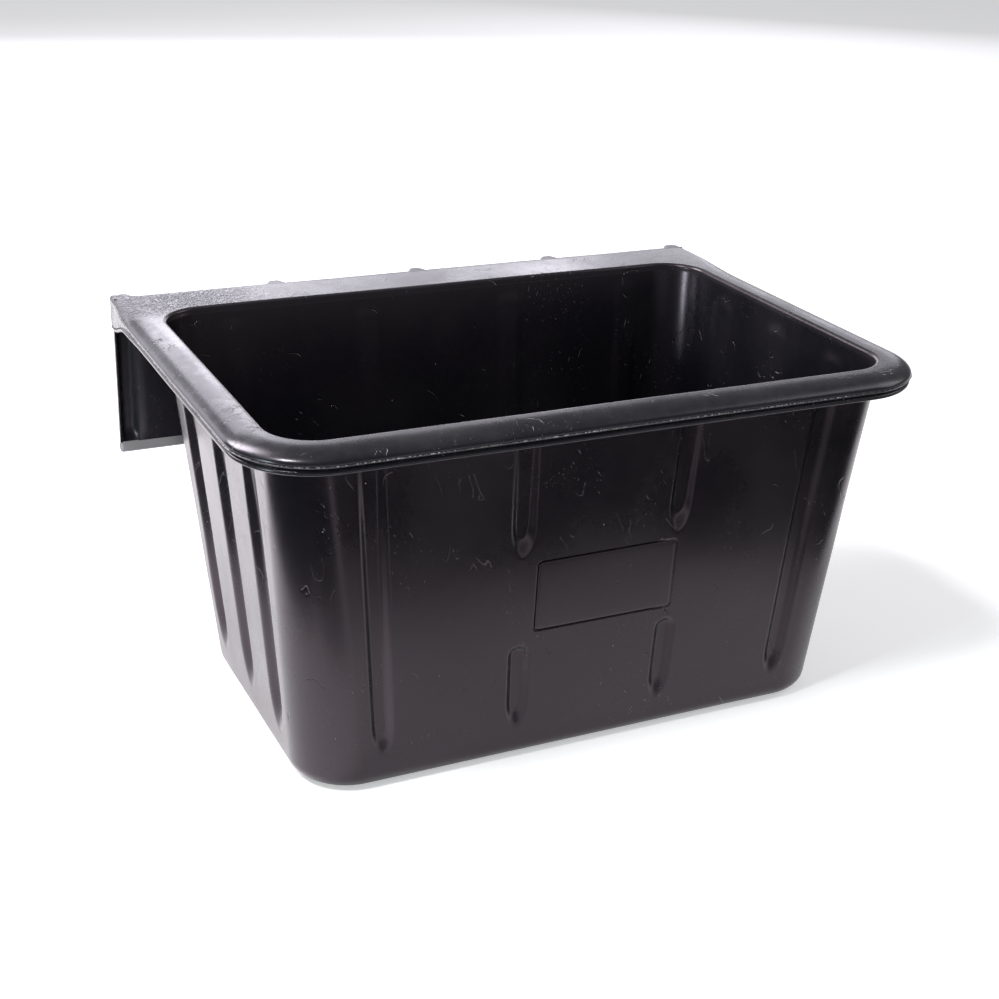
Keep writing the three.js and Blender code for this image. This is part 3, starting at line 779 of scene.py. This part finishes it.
def black_plastic(name, base, roughness, tint, scuffed=1.0, specked=1.0, smudged=False, forward_painted_light=0.0):
    """Recycled black plastic: uneven gloss, dust on what faces up, pale specks, scratches and hairlines.

    tint is the gloss's colour. smudged adds dull patches along the left arm's crown, and pits near its
    rear corner. The last argument sets how pale the sides that face forwards are painted: painted light.
    """
    n = Nodes(name)
    where = n.add("ShaderNodeTexCoord").outputs["Object"]
    normal = n.add("ShaderNodeNewGeometry").outputs["Normal"]
    facing = n.add("ShaderNodeSeparateXYZ", {"Vector": normal})
    upward = facing.outputs["Z"]

    place = n.add("ShaderNodeSeparateXYZ", {"Vector": where})
    out = n.math("SUBTRACT", n.math("MULTIPLY", place.outputs["X"], -1.0), HALF_LENGTH * MM)
    crown = n.ramp(place.outputs["Y"], 0.03, 0.125, 0.0075, 0.0125)
    from_crown = n.math("ABSOLUTE", n.math("SUBTRACT", out, crown))
    band = n.ramp(from_crown, 0.006, 0.001)
    leftward = n.ramp(place.outputs["X"], -0.09, -0.165)
    corner = n.math("MULTIPLY", leftward, n.ramp(place.outputs["Y"], 0.085, 0.115))
    smudges = n.math("MULTIPLY", n.ramp(n.noise(where, 95, 5, 0.6), 0.3, 0.7), band) if smudged else 0.0
    cloud = n.noise(where, 14, 4)
    mottle = n.noise(where, 160, 3, 0.6)
    grain = n.noise(where, 1400, 2)

    deep, pale = grey(base, 0.88, 0.9, 1.25), grey(base * 1.45, 0.95, 0.92, 1.15)
    colour = n.mix(n.ramp(cloud, 0.35, 0.7), deep, pale)
    colour = n.mix(n.ramp(mottle, 0.45, 0.75, 0, 0.15), colour, grey(base * 2.2))
    dust = n.math("MULTIPLY", n.ramp(upward, 0.35, 0.95), n.ramp(cloud, 0.2, 0.75, 0.45, 1.0))
    dust = n.math("MULTIPLY", dust, n.ramp(mottle, 0.25, 0.7, 0.6, 1.0))
    colour = n.mix(n.math("MULTIPLY", dust, 0.05 * scuffed), colour, grey(0.34, 0.98, 0.96, 1.03))

    # Painted light: sides that face forwards are painted paler, standing in for the light that falls on
    # them.
    if forward_painted_light:
        forward = n.ramp(facing.outputs["Y"], -0.2, -0.6)
        colour = n.mix(forward, colour, grey(forward_painted_light, 1.0, 0.98, 1.0))

    scratches = None
    for turn, density in (((0.2, 0.9, 0.3), 0.735), ((0.5, -0.4, 1.2), 0.745), ((-0.3, 2.0, 0.6), 0.75)):
        lines = n.noise(n.stretched(where, turn, 0.034, 0.0011), 1.0, 1)
        mark = n.ramp(lines, density, density + 0.03)
        scratches = mark if scratches is None else n.math("MAXIMUM", scratches, mark)
    patches = n.ramp(n.noise(where, 23, 2), 0.52, 0.64)
    scratches = n.math("MULTIPLY", n.math("MULTIPLY", scratches, patches), scuffed, clamp=True)
    colour = n.mix(n.math("MULTIPLY", scratches, 0.3), colour, grey(0.3))

    strands = n.noise(n.stretched(where, (0.4, 1.1, 0.7), 0.06, 0.012), 1.0, 1)
    ridge = n.math("ABSOLUTE", n.math("SUBTRACT", strands, 0.5))
    hairs = n.math("MULTIPLY", n.ramp(ridge, 0.010, 0.002), n.ramp(n.noise(where, 41, 1), 0.61, 0.65))
    hairs = n.math("MULTIPLY", hairs, min(1.0, scuffed))

    fine = n.specks(where, 0.0045, 0.05 * specked, 0.00032)
    coarse = n.specks(where, 0.021, 0.10 * specked, 0.00085)
    specks = n.math("MAXIMUM", fine, coarse)
    colour = n.mix(n.math("MULTIPLY", specks, 0.85), colour, grey(0.78, 1.0, 0.99, 0.96))
    n.link(colour, "Base Color")

    gloss = n.ramp(cloud, 0.3, 0.75, roughness - 0.04, roughness + 0.05)
    gloss = n.math("ADD", gloss, n.ramp(mottle, 0.3, 0.8, -0.008, 0.012))
    gloss = n.math("ADD", gloss, n.math("MULTIPLY", n.math("ADD", scratches, dust), 0.05 * scuffed))
    gloss = n.math("ADD", gloss, n.math("MULTIPLY", smudges, 0.09))
    gloss = n.math("ADD", gloss, n.math("MULTIPLY", specks, 0.3), clamp=True)
    n.link(gloss, "Roughness")

    relief = n.math("ADD", n.math("MULTIPLY", grain, 0.000004), n.math("MULTIPLY", mottle, 0.000014))
    relief = n.math("ADD", relief, n.math("MULTIPLY", specks, 0.00015))
    relief = n.math("SUBTRACT", relief, n.math("MULTIPLY", scratches, 0.00006))
    relief = n.math("SUBTRACT", relief, n.math("MULTIPLY", hairs, 0.00025))
    if smudged:
        pits = n.math("MULTIPLY", n.ramp(n.noise(where, 330, 3, 0.65), 0.35, 0.6), corner)
        relief = n.math("ADD", relief, n.math("MULTIPLY", pits, 0.0003))
    bump = n.add("ShaderNodeBump", {"Height": relief, "Distance": 1.0, "Strength": 0.9})
    n.link(bump.outputs["Normal"], "Normal")
    n.shader.inputs["IOR"].default_value = 1.51
    n.shader.inputs["Specular Tint"].default_value = (*tint, 1.0)
    return n.material


def flash_plastic(name):
    """The torn edge of the flash: rougher and paler than the moulding, in patches."""
    n = Nodes(name)
    where = n.add("ShaderNodeTexCoord").outputs["Object"]
    torn = n.noise(where, 700, 3, 0.7)
    patches = n.noise(where, 38, 2)
    pale = n.math("MULTIPLY", n.ramp(torn, 0.50, 0.60), n.ramp(patches, 0.40, 0.56, 0.3, 1.0))
    n.link(n.mix(pale, grey(0.02), grey(0.85, 1.0, 0.95, 1.0)), "Base Color")
    n.link(n.ramp(torn, 0.3, 0.7, 0.4, 0.65), "Roughness")
    bump = n.add("ShaderNodeBump", {"Height": torn, "Distance": 0.0004, "Strength": 1.0})
    n.link(bump.outputs["Normal"], "Normal")
    return n.material


def floor_material():
    n = Nodes("pale_floor")
    where = n.add("ShaderNodeTexCoord").outputs["Object"]
    tone = n.ramp(n.noise(where, 3, 3), 0.2, 0.8)
    n.link(n.mix(tone, grey(0.90), grey(0.92)), "Base Color")
    n.shader.inputs["Roughness"].default_value = 0.85
    n.shader.inputs["Specular IOR Level"].default_value = 0.1
    n.shader.inputs["Emission Color"].default_value = grey(1.0)
    n.shader.inputs["Emission Strength"].default_value = 0.42
    return n.material


# ---- Studio -------------------------------------------------------------------------------------------

CARD_SHADE = 0.02
CARD_LIFT = 2.0  # the cards' height, in millimetres
FLOOR_LEVEL = -0.5  # just below the tub's base, in millimetres
FLOOR_HALF_SIZE = 12  # in metres


def add_floor():
    size = FLOOR_HALF_SIZE
    mesh = bpy.data.meshes.new("floor")
    corners = [(-size, -size, 0), (size, -size, 0), (size, size, 0), (-size, size, 0)]
    mesh.from_pydata(corners, [], [(0, 1, 2, 3)])
    mesh.materials.append(floor_material())
    floor = bpy.data.objects.new("floor", mesh)
    floor.location.z = FLOOR_LEVEL * MM
    bpy.context.scene.collection.objects.link(floor)


def add_light(name, place, size, power, tint=(1, 1, 1), aim=(0, 0, 0.1)):
    data = bpy.data.lights.new(name, "AREA")
    data.shape = "RECTANGLE"
    data.size, data.size_y = size
    data.energy = power
    data.color = tint
    lamp = bpy.data.objects.new(name, data)
    lamp.location = place
    lamp.rotation_euler = (Vector(aim) - Vector(place)).to_track_quat("-Z", "Y").to_euler()
    bpy.context.scene.collection.objects.link(lamp)


def add_card(name, corners):
    """A dark card on the floor in front, which the glossy front wall mirrors. The camera doesn't see it."""
    mesh = bpy.data.meshes.new(name)
    mesh.from_pydata([(x, y, 0) for x, y in corners], [], [tuple(range(len(corners)))])
    n = Nodes(name)
    n.shader.inputs["Base Color"].default_value = grey(CARD_SHADE)
    n.shader.inputs["Roughness"].default_value = 1.0
    n.shader.inputs["Specular IOR Level"].default_value = 0.0
    mesh.materials.append(n.material)
    card = bpy.data.objects.new(name, mesh)
    card.location.z = CARD_LIFT * MM
    card.visible_camera = False
    card.visible_shadow = False
    bpy.context.scene.collection.objects.link(card)


def add_studio():
    """The floor, the cards, the softboxes and the world's pale light, all in metres."""
    add_floor()
    right = [(-0.095, -0.28), (0.14, -0.29), (0.25, -0.27), (0.31, -0.18), (0.9, 0.0)]
    right += [(0.9, -0.64), (-0.085, -0.64)]
    left = [(-0.125, -0.27), (-0.27, -0.22), (-0.32, -0.12), (-0.355, 0.0), (-0.37, 0.15), (-0.40, 0.30)]
    left += [(-1.0, 0.45), (-1.0, -0.64), (-0.125, -0.64)]
    add_card("dark_card_right", right)
    add_card("dark_card_left", left)
    add_light("rear_softbox", (0.40, 2.5, 0.80), (1.9, 0.62), 12.3, (0.94, 0.92, 1.0))
    add_light("rear_right_softbox", (2.0, 2.5, 0.80), (1.3, 0.62), 6.5, (0.94, 0.92, 1.0))
    add_light("rear_left_softbox", (0.25, 2.5, 1.18), (0.8, 0.42), 6, (0.94, 0.92, 1.0))
    add_light("left_softbox", (-0.98, 2.3, 0.60), (0.95, 0.85), 6, (0.94, 0.92, 1.0))
    add_light("floor_lamp_left", (-0.75, 0.75, 1.0), (0.5, 0.8), 25, (1.0, 0.95, 1.0), aim=(-0.42, 0.4, 0))
    add_light("key_softbox", (-0.93, -0.36, 1.75), (0.3, 0.3), 22)
    add_light("corner_softbox", (-2.8, -0.8, 0.44), (0.25, 0.5), 28, (0.80, 0.95, 1.0))
    add_light("front_softbox", (0.3, -2.4, 0.45), (2.6, 0.5), 1.3)
    add_light("fill_softbox", (1.8, -0.5, 1.5), (1.2, 1.2), 11)
    world = bpy.data.worlds.new("studio")
    world.use_nodes = True
    world.node_tree.nodes["Background"].inputs["Color"].default_value = (0.93, 0.94, 1.0, 1)
    world.node_tree.nodes["Background"].inputs["Strength"].default_value = 0.2
    bpy.context.scene.world = world
    bpy.context.scene.view_settings.view_transform = "Standard"


# ---- Making -------------------------------------------------------------------------------------------

add_camera()
add_studio()

tub_plastic = black_plastic("tub_black_plastic", 0.0055, 0.28, tint=WARM)
rim_plastic = black_plastic("rim_black_plastic", 0.0065, 0.24, tint=COOL, specked=1.3, smudged=True)
# The lip's forward-facing sides get painted light: they are painted paler.
lip_plastic = black_plastic("lip_plastic_painted_light", 0.0065, 0.4, tint=COOL, forward_painted_light=0.26)
hook_plastic = black_plastic("hook_black_plastic", 0.0065, 0.33, tint=COOL)
panel_plastic = black_plastic("panel_black_plastic", 0.007, 0.3, tint=WARM, scuffed=0.7)

add_tub(tub_plastic)
add_panel(panel_plastic)
add_rim(rim_plastic)
add_flash(flash_plastic("torn_flash"))
add_deck(rim_plastic)
add_hook(hook_plastic)
add_lip(lip_plastic)
